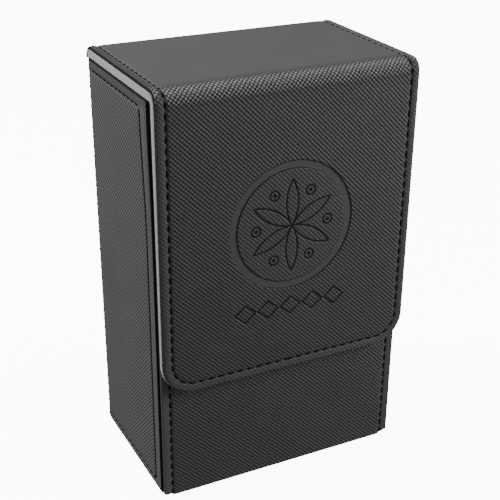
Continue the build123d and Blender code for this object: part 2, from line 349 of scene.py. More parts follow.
def pressed_lines(look, x, s):
    """Shader version of emblem_lines and emblem_ring, 0 to 1. x and s are sockets."""
    calc = look.calc
    z = calc("SUBTRACT", S_END + FLAP_BOTTOM - EMBLEM_Z, s)
    radius = calc("SQRT", calc("MULTIPLY_ADD", x, x, calc("MULTIPLY", z, z)))
    turn = calc("ARCTAN2", z, x)
    fold = calc("PINGPONG", calc("ADD", turn, SIXTH / 2), SIXTH / 2)
    fx = calc("MULTIPLY", radius, calc("COSINE", fold))
    fz = calc("MULTIPLY", radius, calc("SINE", fold))

    def from_point(px, pz):
        dx = calc("SUBTRACT", fx, px)
        dz = calc("SUBTRACT", fz, pz)
        return calc("SQRT", calc("MULTIPLY_ADD", dx, dx, calc("MULTIPLY", dz, dz)))

    def from_circle(distance, circle):
        return calc("ABSOLUTE", calc("SUBTRACT", distance, circle))

    arc = from_circle(from_point(ROSETTE * math.cos(SIXTH), -ROSETTE * math.sin(SIXTH)), ROSETTE)
    beyond = calc("MULTIPLY", calc("GREATER_THAN", radius, ROSETTE + 0.2), FAR)
    arc = calc("ADD", arc, beyond)
    dot = from_point(DOT_CIRCLE * math.cos(SIXTH / 2), DOT_CIRCLE * math.sin(SIXTH / 2))
    gap = calc("MINIMUM", arc, from_circle(dot, DOT_RING))
    gap = calc("MINIMUM", gap, calc("SUBTRACT", dot, DOT_RADIUS))
    along = calc("PINGPONG", x, LOZENGE_PITCH / 2)
    height = calc("ABSOLUTE", calc("ADD", z, EMBLEM_Z - ORNAMENT_Z))
    reach = calc("MULTIPLY_ADD", along, LOZENGE_SLOPE, height)
    lozenge = calc("DIVIDE", from_circle(reach, LOZENGE), LOZENGE_SCALE)
    past = calc("GREATER_THAN", calc("ABSOLUTE", x), LOZENGES / 2 * LOZENGE_PITCH)
    lozenge = calc("MULTIPLY_ADD", past, FAR, lozenge)
    gap = calc("MINIMUM", gap, lozenge)
    lines = look.ramp(gap, 0.12, 0.30, 1.0, 0.0)
    off_middle = from_circle(radius, EMBLEM_RADIUS - EMBLEM_BAND / 2)
    band = look.ramp(off_middle, EMBLEM_BAND / 2 - 0.22, EMBLEM_BAND / 2 + 0.05, 1.0, 0.0)
    # A thin line just inside both edges of the band, pressed in, and painted dark in leather_material as
    # painted shade.
    rim = calc("ABSOLUTE", calc("SUBTRACT", off_middle, EMBLEM_BAND / 2 - 0.05))
    line = look.ramp(rim, 0.05, 0.2, 0.8, 0.0)
    return calc("MAXIMUM", lines, line), band


def leather_material(name, emblem=False, lean=1, dark=0.003, light=0.050):
    """Leather embossed with fine slanting ridges, and a weaker set across them where it is strained.

    dark and light are the greys of the valleys and the tops; the valleys' darker grey is painted shade. lean
    is the way in which the ridges slant."""
    look = Finish(name)
    calc, mix = look.calc, look.mix
    sheet = look.sheet()
    wander = look.noise(sheet, 0.35, 2.0)
    split = look.add("ShaderNodeSeparateXYZ", Vector=sheet)
    across, up = split.outputs[0], split.outputs[1]
    phase = calc("MULTIPLY", wander, 1.6)
    turn = 2 * math.pi * EMBOSS

    def ridges(sign, strength):
        slope = calc("MULTIPLY_ADD", up, sign, across)
        wave = calc("SINE", calc("MULTIPLY_ADD", slope, turn, phase))
        return calc("MULTIPLY", calc("ADD", wave, 1.0), strength)

    emboss, ink_and_shade = look.mark("emboss"), look.mark("ink_and_shade")
    crossing = calc("MINIMUM", calc("MULTIPLY_ADD", emboss, 0.24, -0.03), 0.31)
    height = calc("ADD", ridges(lean, 0.28), ridges(-lean, crossing))
    if emblem:
        lines, band = pressed_lines(look, across, up)
        emboss = calc("MULTIPLY", emboss, calc("SUBTRACT", 1.0, calc("MAXIMUM", lines, band)))
    pattern = calc("MULTIPLY", height, emboss)
    grain = look.noise(sheet, 5.0, 3.0, 0.6)
    blotch = look.noise(sheet, 0.06, 3.0)
    relief = calc("MULTIPLY_ADD", grain, 0.15, pattern)
    if emblem:
        relief = calc("MULTIPLY_ADD", lines, -0.9, relief)
        relief = calc("MULTIPLY_ADD", band, -0.6, relief)
    look.bump(relief, 1.0, 0.20)

    # Painted shade: the grain's valleys are painted darker than its tops.
    base = mix(look.ramp(height, 0.05, 0.85), grey(dark), grey(light))
    # Painted sheen: where the grain is faint, the leather is painted lighter than its tops.
    smooth_sheen = grey(dark + (light - dark) * 1.15)
    base = mix(emboss, smooth_sheen, base)
    base = mix(0.2, base, mix(blotch, grey(dark), grey(light)))
    # Painted highlight: the ridge tips turn light grey where the grain is strongest, over the fold and along
    # the lid's outer flange.
    bent = calc("MULTIPLY", calc("MAXIMUM", calc("SUBTRACT", emboss, 1.5), 0.0), 1.2)
    tip_highlight = calc("MULTIPLY", calc("POWER", height, 4.0), bent)
    base = mix(tip_highlight, base, grey(0.22))
    # Painted shade: this mark darkens the leather down in the seams and joints, at turned edges and on the lid
    # flange's outer slope; at cut edges it stands for edge ink.
    base = mix(ink_and_shade, base, grey(dark * 0.3))
    gloss = calc("MULTIPLY_ADD", pattern, -0.18, 0.64)
    gloss = calc("MULTIPLY_ADD", grain, 0.08, gloss)
    gloss = calc("MULTIPLY_ADD", ink_and_shade, 0.25, gloss)
    if emblem:
        # Painted sheen on the smooth pressed band, and painted shade in the pressed lines and along the band's
        # edges.
        base = mix(band, base, grey(dark + (light - dark) * 0.9))
        base = mix(lines, base, grey(dark * 0.5))
        gloss = calc("MULTIPLY_ADD", lines, 0.25, gloss)
    look.surface(Base_Color=base, Roughness=gloss, Specular_IOR_Level=0.33)
    return look.material


def ink_and_shade_material():
    """Black edge ink, matt and a little uneven, on cut edges; the same black is painted shade down in the
    seams, in the joints, at the turned rear edges and on the lining's edge round the rear bend.
    """
    look = Finish("edge_ink_and_painted_shade")
    brush = look.noise(look.sheet(), 2.0, 3.0)
    look.surface(Base_Color=look.mix(brush, grey(0.001), grey(0.007)),
                 Roughness=look.calc("MULTIPLY_ADD", brush, 0.2, 0.75), Specular_IOR_Level=0.08)
    return look.material


def lining_material(name, value):
    """Short-napped microfibre with a soft mottled nap. value is its mean grey."""
    look = Finish(name)
    sheet = look.sheet()
    nap = look.noise(sheet, 1.0, 5.0, 0.75)
    cloud = look.noise(sheet, 0.25, 3.0)
    strand = look.add("ShaderNodeMapRange", Value=nap, i1=0.36, i2=0.64).outputs[0]
    base = look.mix(strand, grey(value * 0.45), grey(value * 1.35))
    base = look.mix(0.3, base, look.mix(cloud, grey(value * 0.8), grey(value * 1.15)))
    look.bump(nap, 0.7, 0.12)
    look.surface(Base_Color=base, Roughness=0.95, Sheen_Weight=0.25, Specular_IOR_Level=0.2)
    return look.material


def thread_material():
    """Black two-ply sewing thread: the plies run slantwise along each stitch."""
    look = Finish("sewing_thread")
    split = look.add("ShaderNodeSeparateXYZ", Vector=look.sheet())
    slant = look.calc("MULTIPLY_ADD", split.outputs[1], 12.0, look.calc("MULTIPLY", split.outputs[0], 6.3))
    ply = look.calc("MULTIPLY_ADD", look.calc("SINE", slant), 0.5, 0.5)
    look.bump(ply, 1.0, 0.06)
    look.surface(Base_Color=look.mix(ply, grey(0.001), grey(0.006)), Roughness=0.9, Specular_IOR_Level=0.08)
    return look.material


def board_material():
    """Pressed greyboard: fibres and flecks."""
    look = Finish("greyboard")
    fibre = look.noise(look.place(), 900.0, 6.0, 0.7)
    look.bump(fibre, 0.5, 0.1)
    look.surface(Base_Color=look.mix(fibre, (0.24, 0.23, 0.21, 1), (0.46, 0.44, 0.40, 1)), Roughness=0.9)
    return look.material


def magnet_material():
    """Nickel-plated disc with fine handling marks."""
    look = Finish("nickel_plate")
    marks = look.noise(look.place(), 1500.0, 3.0)
    look.surface(Base_Color=look.mix(marks, (0.50, 0.49, 0.47, 1), (0.66, 0.65, 0.62, 1)),
                 Roughness=look.calc("MULTIPLY_ADD", marks, 0.25, 0.15), Metallic=1.0)
    return look.material


def foam_material():
    """Open-cell padding sheet."""
    look = Finish("padding_foam")
    cells = look.add("ShaderNodeTexVoronoi", Vector=look.place(), Scale=2500.0).outputs["Distance"]
    look.bump(cells, 0.6, 0.1)
    look.surface(Base_Color=look.mix(cells, grey(0.05), grey(0.2)), Roughness=0.95)
    return look.material


BLACK_LEATHER = leather_material("black_leather")
LID_LEATHER = leather_material("lid_leather", lean=-1)
FLAP_LEATHER = leather_material("flap_leather", emblem=True, lean=-1, light=0.045)
LINING_GREY = lining_material("lining_grey", 0.17)
LINING_DARK = lining_material("lining_inside", 0.22)
INK_AND_SHADE = ink_and_shade_material()
THREAD = thread_material()

NODE_FINISH = {
    "board": board_material(), "foam": foam_material(), "magnets": magnet_material(),
    "thread": THREAD, "lining": LINING_GREY, "leather": BLACK_LEATHER,
}
for node_name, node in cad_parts.items():
    node.data.materials.clear()
    node.data.materials.append(NODE_FINISH[node_name.split("_")[-1]])


# ------------------------------------------------------------------ the strip over the lid
REAR_CENTRE = (BACK_Y - REAR_BEND, HEIGHT - REAR_BEND)
FRONT_CENTRE = (FLAP_Y + FRONT_BEND, HEIGHT - FRONT_BEND)


def strip_place(x, s):
    """Points and outward normals of the strip's nominal outer face."""
    rear = np.clip((s - S_BEND) / REAR_BEND, 0, math.pi / 2)
    front = np.clip((s - S_FOLD) / FRONT_BEND, 0, math.pi / 2)
    turn = rear + front  # 0 on the back, a quarter turn on the lid, a half turn on the flap
    ny, nz = np.cos(turn), np.sin(turn)
    on_front = s >= (S_TOP + S_FOLD) / 2
    radius = np.where(on_front, FRONT_BEND, REAR_BEND)
    y = np.where(on_front, FRONT_CENTRE[0], REAR_CENTRE[0]) + radius * ny
    z = np.where(on_front, FRONT_CENTRE[1], REAR_CENTRE[1]) + radius * nz
    y = y + np.where(on_front, np.clip(S_FOLD - s, 0, None), -np.clip(s - S_TOP, 0, None))
    z = z - np.clip(s - S_FLAP, 0, None) - np.clip(S_BEND - s, 0, None)
    normals = np.stack([np.zeros_like(s), ny, nz], 1)
    return np.stack([x, y, z], 1), normals


def strip_edge(s, half_width, end, corner):
    """Half the strip's width at s, where its lower corners are rounded."""
    into = np.clip(s - (end - corner), 0, corner)
    return half_width - corner + np.sqrt(np.maximum(corner**2 - into**2, 0))


def strip_warp(half_width, end, corner):
    """Narrows the rows of a grid to follow the rounded lower corners."""

    def warp(x, s):
        return x * strip_edge(s, half_width, end, corner) / half_width, s

    return warp


def inset(x, s, half_width, end, corner):
    """Distance in from the strip's sides and rounded lower end."""
    dx = np.abs(x) - (half_width - corner)
    ds = s - (end - corner)
    outside = np.hypot(np.clip(dx, 0, None), np.clip(ds, 0, None))
    inside = np.minimum(np.maximum(dx, ds), 0)
    return corner - outside - inside


def strip_inset(x, s):
    return inset(x, s, STRIP_X, STRIP_END, STRIP_CORNER)


STRIP_X = LID_X - EDGE_SHOWN
STRIP_END = S_END - EDGE_SHOWN
STRIP_CORNER = FLAP_CORNER - EDGE_SHOWN
LID_SEAM = STRIP_X - LID_SEAM_X  # the seam's distance in from the strip's edge


def stitch_wave(along):
    """1 at the middle of each stitch, 0 between two stitches."""
    return 0.5 - 0.5 * np.cos(2 * math.pi * along / STITCH_PITCH)


def seam_dip(distance, along):
    """The sewn line: each stitch pulls a short dent, and the leather rises between two stitches."""
    return bell(distance, 0.30) * (0.12 + 0.36 * np.sqrt(stitch_wave(along)))


def seam_dark(distance, along):
    """Shade down in the dents."""
    return bell(distance, 0.25) * (0.15 + 0.85 * stitch_wave(along))


def rolled_edge(distance, reach, depth):
    """How far a soft rolled edge falls away over its last stretch."""
    into = np.clip(1 - distance / reach, 0, 1)
    return depth * (1 - np.sqrt(np.maximum(1 - into**2, 0)))


def seam_along(x, s):
    """Position along the lid's and flap's seam, growing from the rear round to the lower edge's middle."""
    down = np.minimum(s, S_END - FLAP_CORNER)
    corner_x, corner_s = LID_X - FLAP_CORNER, S_END - FLAP_CORNER
    radius = STRIP_CORNER - LID_SEAM
    angle = np.arctan2(np.clip(s - corner_s, 0, None), np.clip(np.abs(x) - corner_x, 1e-6, None))
    round_corner = np.where(np.abs(x) > corner_x, radius * angle, radius * math.pi / 2 + corner_x - np.abs(x))
    return down + np.where(s > corner_s, round_corner, 0)


def padding(distance, crown, reach):
    """The panel swells inside its seam."""
    return crown * (1 - np.exp(-np.clip(distance, 0, None) / reach))


def emblem_lines(x, z):
    """0 to 1 where the thin lines of the rosette and the row of lozenges are pressed in."""
    radius = np.hypot(x, z - EMBLEM_Z)
    turn = np.degrees(np.arctan2(z - EMBLEM_Z, x))
    fold = np.radians(np.abs((turn % 60) - 30))
    fx, fz = radius * np.cos(fold), radius * np.sin(fold)
    arc = np.abs(np.hypot(fx - ROSETTE * math.cos(SIXTH), fz + ROSETTE * math.sin(SIXTH)) - ROSETTE)
    gap = np.where(radius < ROSETTE + 0.2, arc, FAR)
    dot = np.hypot(fx - DOT_CIRCLE * math.cos(SIXTH / 2), fz - DOT_CIRCLE * math.sin(SIXTH / 2))
    gap = np.minimum(gap, np.minimum(np.abs(dot - DOT_RING), dot - DOT_RADIUS))
    along = np.abs(x - LOZENGE_PITCH * np.round(x / LOZENGE_PITCH))
    lozenge = np.abs(LOZENGE_SLOPE * along + np.abs(z - ORNAMENT_Z) - LOZENGE) / LOZENGE_SCALE
    gap = np.minimum(gap, np.where(np.abs(x) < LOZENGES / 2 * LOZENGE_PITCH, lozenge, FAR))
    return 1 - smooth((gap - 0.1) / 0.3)


def emblem_ring(x, z):
    """0 to 1 across the smooth pressed band of the ring."""
    r = np.hypot(x, z - EMBLEM_Z)
    middle = EMBLEM_RADIUS - EMBLEM_BAND / 2
    return 1 - smooth((np.abs(r - middle) - (EMBLEM_BAND / 2 - 0.2)) / 0.35)


def strip_height(s):
    """Height z of the flap's face at s; above the fold it is out of the emblem's reach."""
    return FLAP_BOTTOM + (S_END - s)


def on_lid(s):
    """1 on the lid, fading to 0 over the fold."""
    return 1 - smooth((s - S_FOLD) / 5)


def strip_lift(x, s):
    """Padded inside the seam, sewn down along it, with a crest on the flange and a rolled edge."""
    distance = strip_inset(x, s)
    field = distance - LID_SEAM
    lift = -0.10 + padding(field, 0.12, 1.6) + 0.12 * bell(field + 1.5, 0.8)
    lift = lift + 0.12 * on_lid(s) * bell(distance - 1.5, 0.4)
    lift = lift - seam_dip(field, seam_along(x, s)) * (0.35 + 0.65 * smooth((s - S_HINGE_END) / 2))
    lower_end = smooth((s - S_END + 16) / 6)
    lift = lift + 0.12 * lower_end * bell(distance - 0.6, 0.25) - rolled_edge(distance, 0.6, 0.22)
    z = strip_height(s)
    on_flap = s > S_FLAP
    pressed = 0.24 * emblem_ring(x, z) + 0.16 * emblem_lines(x, z)
    return lift - np.where(on_flap, pressed, 0)


def strip_emboss(x, s):
    """Strong over the fold and along the lid's edge, faint on the lid, and smooth on the pressed ring."""
    field = strip_inset(x, s) - LID_SEAM
    outer = 1.8 * smooth((-0.9 - field) / 0.4) * on_lid(s)
    cover = 0.45 + 0.55 * smooth((field - 0.2) / 0.8) + outer
    fold = smooth((s - S_FOLD + 2) / 4) * smooth((S_FLAP + 2 - s) / 4)
    cover = cover * (1 + 1.1 * fold) * (0.35 + 0.65 * smooth((s - S_FOLD + 4) / 5))
    z = strip_height(s)
    inside = 0.3 * (np.hypot(x, z - EMBLEM_Z) < EMBLEM_RADIUS)
    flat = np.where(s > S_FLAP, np.maximum(emblem_ring(x, z), inside), 0)
    return cover * (1 - flat)


def strip_ink_and_shade(x, s):
    """Painted shade in the seam, the inked cut edge with painted shade added on the lid, and painted shade on
    the slope beyond the crest of the lid's flange.
    """
    distance = strip_inset(x, s)
    edge = (1 - smooth((distance - 0.15) / 0.15)) * (0.45 + 0.55 * on_lid(s))
    slope = 0.42 * on_lid(s) * (1 - smooth((distance - 1.25) / 0.3))
    return np.maximum(seam_dark(distance - LID_SEAM, seam_along(x, s)), np.maximum(edge, slope))


STRIP_MARKS = {"emboss": strip_emboss, "ink_and_shade": strip_ink_and_shade}
STRIP_EDGES = ((0.45, 0.09), (6, 0.25))

flap_x = edged(-STRIP_X, STRIP_X, 0.26, *STRIP_EDGES, (STRIP_X - EMBLEM_RADIUS - 0.7, 0.6))
emblem_top = S_END - (EMBLEM_Z + EMBLEM_RADIUS + 0.6 - FLAP_BOTTOM)
ornament_end = S_END - (ORNAMENT_Z - 3.4 - FLAP_BOTTOM)
corner_rows = STRIP_END - STRIP_CORNER + STRIP_CORNER * np.sin(np.radians(np.arange(0, 90.1, 2.25)))
flap_s = np.concatenate([
    runs((S_FOLD, S_FLAP, 0.4), (S_FLAP, emblem_top, 0.6), (emblem_top, ornament_end, 0.26),
         (ornament_end, STRIP_END - STRIP_CORNER, 0.45)),
    corner_rows[1:-4], runs((corner_rows[-4], STRIP_END - 0.05, 0.07), (STRIP_END - 0.05, STRIP_END, 0.05))])

flap_cover = sheet_shell("flap_cover", flap_x, flap_s, strip_place, strip_lift, LEATHER, STRIP_MARKS,
                         [FLAP_LEATHER, INK_AND_SHADE], warp=strip_warp(STRIP_X, STRIP_END, STRIP_CORNER))
lid_x = edged(-STRIP_X, STRIP_X, 0.7, *STRIP_EDGES)
lid_cover = sheet_shell("lid_cover", lid_x, runs((S_HINGE_END, S_FOLD, 0.5)), strip_place, strip_lift, LEATHER,
                        STRIP_MARKS, [LID_LEATHER, INK_AND_SHADE])
hinge_cover = sheet_shell("hinge_cover", lid_x, runs((0, S_HINGE_END, 0.3)), strip_place, strip_lift, LEATHER,
                          STRIP_MARKS, [LID_LEATHER, INK_AND_SHADE], stride=2)

# The padded board under the strip: thick in the flats, and rounded off inside the two bends.
BEND_LINING = 0.45
CORE_X = LID_X - 0.02
CORE_END = S_END - 0.02
CORE_CORNER = FLAP_CORNER
MITRE_REAR = S_BEND + 0.02
MITRE_FRONT = (S_FOLD + S_FLAP) / 2
MITRE_GAP = 0.04


def core_outer(x, s):
    """The board's outer face under the leather, lower in the two bends, where the lining takes its place."""
    in_rear = np.where(s < S_TOP, smooth((S_TOP - s) / 0.3), 0)
    in_fold = smooth((s - S_FOLD) / 0.3) * smooth((S_FLAP - s) / 0.3)
    in_bend = in_rear + np.where((s > S_FOLD) & (s < S_FLAP), in_fold, 0)
    return -LEATHER - BEND_LINING * in_bend - edge_drop(inset(x, s, CORE_X, CORE_END, CORE_CORNER), 0.15)


def core_inner(x, s):
    """The inner face; its edge is rounded, more so towards the flap's lower end."""
    distance = inset(x, s, CORE_X, CORE_END, CORE_CORNER)
    radius = 0.4 + 0.9 * smooth((s - S_FLAP) / 70)
    inside = np.clip(radius - distance, 0, radius)
    return -LID_THICK + radius - np.sqrt(np.maximum(radius**2 - inside**2, 0))


def no_mark(x, s):
    return np.zeros(len(x))


def core_rim_shade(x, s):
    """Painted shade: the lining's edge round the rear bend takes the black of the edge ink."""
    return (1 - smooth((s - S_BEND - 0.45 * (S_TOP - S_BEND)) / 0.3)) * (np.abs(x) > CORE_X - 0.01)


SHADED_BEND_EDGE = {"ink_and_shade": no_mark, "rim": core_rim_shade}
core_x = edged(-CORE_X, CORE_X, 1.2, (1.4, 0.14))
core_rows = CORE_END - CORE_CORNER + CORE_CORNER * np.sin(np.radians(np.arange(0, 90.1, 5)))
lid_core_s = runs((MITRE_REAR, S_TOP, 0.35), (S_TOP, S_FOLD, 1.5), (S_FOLD, MITRE_FRONT - MITRE_GAP, 0.35))
flap_core_s = np.concatenate([
    runs((MITRE_FRONT + MITRE_GAP, S_FLAP, 0.35), (S_FLAP, CORE_END - CORE_CORNER, 1.5)),
    core_rows[1:-2], runs((core_rows[-2], CORE_END, 0.12))])
lid_core = sheet_shell("lid_core", core_x, lid_core_s, strip_place, core_outer, LID_THICK, SHADED_BEND_EDGE,
                       [LINING_GREY, INK_AND_SHADE], under_lift=core_inner, stride=1)
flap_core = sheet_shell("flap_core", core_x, flap_core_s, strip_place, core_outer, LID_THICK, {},
                        [LINING_GREY], warp=strip_warp(CORE_X, CORE_END, CORE_CORNER),
                        under_lift=core_inner, stride=1)


def bend_lining_lift(x, s):
    return np.full(len(x), -LEATHER - 0.01)


hinge_lining = sheet_shell("hinge_lining_strip", core_x, runs((0, S_HINGE_END, 0.4)), strip_place,
                           bend_lining_lift, LEATHER + BEND_LINING, SHADED_BEND_EDGE, [LINING_GREY, INK_AND_SHADE], stride=1)
fold_lining = sheet_shell("fold_lining_strip", core_x, runs((S_FOLD, S_FLAP + 0.6, 0.4)), strip_place,
                          bend_lining_lift, LEATHER + BEND_LINING, {}, [LINING_GREY], stride=1)


# ------------------------------------------------------------------ the box's leather
def flat_place(origin, across, up, outward):
    """A flat panel: u runs along across and v along up, from origin."""
    origin, across, up, outward = (np.array(v, float) for v in (origin, across, up, outward))

    def place(u, v):
        points = origin + u[:, None] * across + v[:, None] * up
        return points, np.tile(outward, (len(u), 1))

    return place


FRONT_FACE = flat_place((0, FRONT_Y, 0), (1, 0, 0), (0, 0, 1), (0, -1, 0))
BACK_FACE = flat_place((0, BACK_Y, 0), (1, 0, 0), (0, 0, 1), (0, 1, 0))


def front_lift(x, z):
    field = FRONT_SEAM_X - np.abs(x)
    edge = np.minimum(np.minimum(BODY_X - np.abs(x), z), RIM_Z - z)
    lift = -0.14 + padding(field, 0.14, 1.6) + 0.16 * smooth(-field / 2.4)
    return lift - seam_dip(field, z) - rolled_edge(edge, 0.5, 0.4)


def front_emboss(x, z):
    under_flap = 0.45 * smooth((z - FLAP_BOTTOM + 16) / 12)
    return 0.3 + (0.7 + under_flap) * smooth((FRONT_SEAM_X - np.abs(x) - 0.2) / 0.8)


def front_seam_shade(x, z):
    # Painted shade down in the seam's dents.
    return seam_dark(FRONT_SEAM_X - np.abs(x), z)


def flange_warp(x, z):
    """Lifts the lower end of the sewn flanges."""
    rise = FLANGE_RISE * smooth((np.abs(x) - FRONT_SEAM_X + 0.4) / 0.8)
    return x, z + rise * np.clip(1 - z / 12, 0, 1)


front_x = edged(-BODY_X, BODY_X, 0.8, (0.7, 0.12), (5, 0.25))
front_z = runs((0, 0.7, 0.1), (0.7, RIM_Z - 0.7, 0.45), (RIM_Z - 0.7, RIM_Z, 0.12))
front_cover = sheet_shell("front_cover", front_x, front_z, FRONT_FACE, front_lift, LEATHER,
                          {"emboss": front_emboss, "ink_and_shade": front_seam_shade}, [BLACK_LEATHER, INK_AND_SHADE],
                          warp=flange_warp)

BACK_X = BACK_HIGH.x


def back_lift(x, z):
    field = BACK_SEAM_X - np.abs(x)
    edge = np.minimum(np.minimum(BACK_X - np.abs(x), z), RIM_Z - z)
    return -0.2 + padding(field, 0.2, 1.6) - seam_dip(field, z) - edge_drop(edge, 0.4)


def back_emboss(x, z):
    return 0.5 + 0.5 * smooth((BACK_SEAM_X - np.abs(x) - 0.2) / 0.8)


def back_seam_shade(x, z):
    # Painted shade down in the seam's dents.
    return seam_dark(BACK_SEAM_X - np.abs(x), z)


back_x = edged(-BACK_X, BACK_X, 0.8, (0.4, 0.1), (4, 0.25))
back_cover = sheet_shell("back_cover", back_x, front_z, BACK_FACE, back_lift, LEATHER,
                         {"emboss": back_emboss, "ink_and_shade": back_seam_shade}, [BLACK_LEATHER, INK_AND_SHADE])

BASE_X, BASE_FRONT, BASE_BACK = BASE_HIGH.x, BASE_LOW.y, BASE_HIGH.y


def base_lift(x, y):
    edge = np.minimum(BASE_X - np.abs(x), np.minimum(y - BASE_FRONT, BASE_BACK - y))
    return -0.25 * np.exp(-edge / 1.5)


def full_emboss(u, v):
    return np.ones(len(u))


base_cover = sheet_shell("base_cover", runs((-BASE_X, BASE_X, 1.0)), runs((BASE_FRONT, BASE_BACK, 1.0)),
                         flat_place((0, 0, 0), (1, 0, 0), (0, 1, 0), (0, 0, -1)), base_lift, LEATHER,
                         {"emboss": full_emboss, "ink_and_shade": no_mark}, [BLACK_LEATHER, INK_AND_SHADE], stride=1)

# Side panels. t runs from the front edge back along the side and round the upright rear corner.
SIDE_START = FRONT_Y + LEATHER
T_CORNER = BACK_Y - REAR_CORNER - SIDE_START
T_END = T_CORNER + math.pi / 2 * REAR_CORNER
T_SEAM_FRONT = SIDE_SEAM_FRONT - SIDE_START
T_SEAM_BACK = T_CORNER + 0.2 * REAR_CORNER  # the rear run lies just on the turn of the corner
SIDE_SEAM_RADIUS = 1.5


def side_place(sign):
    def place(t, z):
        turn = np.clip((t - T_CORNER) / REAR_CORNER, 0, math.pi / 2)
        nx, ny = np.cos(turn), np.sin(turn)
        x = BODY_X - REAR_CORNER + REAR_CORNER * nx
        y = SIDE_START + np.minimum(t, T_CORNER) + REAR_CORNER * ny
        normals = np.stack([sign * nx, ny, np.zeros_like(t)], 1)
        return np.stack([sign * x, y, z], 1), normals

    return place


def side_lean(z):
    """The front run of stitching leans back towards its top."""
    return 2.2 * smooth((z - 85) / 40)


def side_field(t, z):
    """Distance in from the rectangle of stitching; negative outside it."""
    t = t - side_lean(z) * smooth((T_SEAM_BACK - 5 - t) / 12)
    mid_t, mid_z = (T_SEAM_FRONT + T_SEAM_BACK) / 2, (SIDE_SEAM_LOW + SIDE_SEAM_HIGH) / 2
    dt = np.abs(t - mid_t) - (T_SEAM_BACK - T_SEAM_FRONT) / 2 + SIDE_SEAM_RADIUS
    dz = np.abs(z - mid_z) - (SIDE_SEAM_HIGH - SIDE_SEAM_LOW) / 2 + SIDE_SEAM_RADIUS
    outside = np.hypot(np.clip(dt, 0, None), np.clip(dz, 0, None))
    return SIDE_SEAM_RADIUS - outside - np.minimum(np.maximum(dt, dz), 0)


def side_upright(t, z):
    """True where the nearest run of the side's stitching is an upright one."""
    from_ends = np.minimum(np.abs(z - SIDE_SEAM_LOW), np.abs(z - SIDE_SEAM_HIGH))
    return np.minimum(np.abs(t - T_SEAM_FRONT - side_lean(z)), np.abs(t - T_SEAM_BACK)) < from_ends


def side_along(t, z):
    """Position along the nearest run of the side's stitching."""
    return np.where(side_upright(t, z), z - SIDE_SEAM_LOW, t - T_SEAM_FRONT)


def joint_opening(z):
    """How far the joint with the front widens towards the top."""
    return smooth((z - 88) / 35)


def side_lift(t, z):
    """Padded inside the stitching, and sunk along the joint with the front."""
    field = side_field(t, z)
    edge = np.minimum(T_END - t, np.minimum(z, (RIM_Z - z) * 0.6))
    lift = -0.08 + padding(field, 0.16, 3.0) + 0.08 * bell(field + 1.2, 0.7)
    drawn = 1 - 0.8 * smooth((t - T_CORNER + 2) / 1.5)
    lift = lift - seam_dip(field, side_along(t, z)) * drawn - edge_drop(edge, 0.5)
    joint = 1 - smooth((t - 1.3 - joint_opening(z)) / 0.9)
    return np.maximum(lift - 1.2 * joint, 0.02 - LEATHER)


def side_emboss(t, z):
    top = 0.5 * smooth((z - SIDE_SEAM_HIGH) / 0.5)
    return 0.4 + 0.6 * smooth((side_field(t, z) - 0.2) / 0.8) + top


def side_painted_shade(t, z):
    """Painted shade: in the seam, in the joints with the front and the lid, beside them, under the lid's
    overhang, and at the turned edges.
    """
    wide = 2.1 + joint_opening(z)
    shut = np.maximum(1 - smooth((t - wide) / 0.4), smooth((z - RIM_Z + 0.9) / 0.4))
    shade = 0.3 * smooth((z - SIDE_SEAM_HIGH - 0.3) / 1.2)
    turned = 0.8 * np.maximum(smooth((t - T_CORNER + 0.6) / 0.4), 1 - smooth((z - 1.0) / 0.5))
    beside = (1 - smooth((t - wide - 0.6) / 2.6)) * (z < SIDE_SEAM_HIGH)
    beside = (0.15 + 0.35 * smooth((z - 60) / 50)) * beside
    shut = np.maximum(np.maximum(shut, beside), np.maximum(shade, turned))
    field = side_field(t, z)
    upright = 0.35 * (side_upright(t, z) & (t < T_CORNER / 2))
    depth = 0.45 + upright + (0.55 - upright) * stitch_wave(side_along(t, z))
    return np.maximum(bell(field, 0.5 + 0.5 * upright) * depth, shut)


side_t = runs((0, 3.8, 0.15), (3.8, T_SEAM_FRONT - 1.5, 0.3), (T_SEAM_FRONT - 1.5, T_SEAM_FRONT + 5, 0.25),
              (T_SEAM_FRONT + 5, T_SEAM_BACK - 3, 0.8), (T_SEAM_BACK - 3, T_END, 0.22))
side_z = edged(0, RIM_Z, 0.45, (0.7, 0.12), (6, 0.25))
side_covers = {}
for side, sign in (("left", -1), ("right", 1)):
    side_covers[side] = sheet_shell(f"{side}_side_cover", side_t, side_z, side_place(sign), side_lift, LEATHER,
                                    {"emboss": side_emboss, "ink_and_shade": side_painted_shade}, [BLACK_LEATHER, INK_AND_SHADE])


# ------------------------------------------------------------------ the box's lining
def wall_place(inner_at, top_at, along, inward):
    """A lining sheet. v runs up the inner wall, over the rim and outwards, and u runs along the wall."""
    along, inward = np.array(along, float), np.array(inward, float)
    radius = LINING
    v_turn = RIM_Z - radius - inner_at
    v_flat = v_turn + math.pi / 2 * radius

    def place(u, v):
        turn = np.clip((v - v_turn) / radius, 0, math.pi / 2)
        up = inner_at + np.minimum(v, v_turn) + radius * np.sin(turn)
        out = radius * np.cos(turn) - radius - np.clip(v - v_flat, 0, None)
        points = along * u[:, None] + inward * (top_at + out)[:, None] + np.array([0, 0, 1.0]) * up[:, None]
        normals = inward * np.cos(turn)[:, None] + np.array([0, 0, 1.0]) * np.sin(turn)[:, None]
        return points, normals

    return place, v_flat


def lining_lift(u, v):
    return 0.04 * np.sin(u * 0.21 + 1.3) * np.sin(v * 0.16 + 0.4) - 0.04


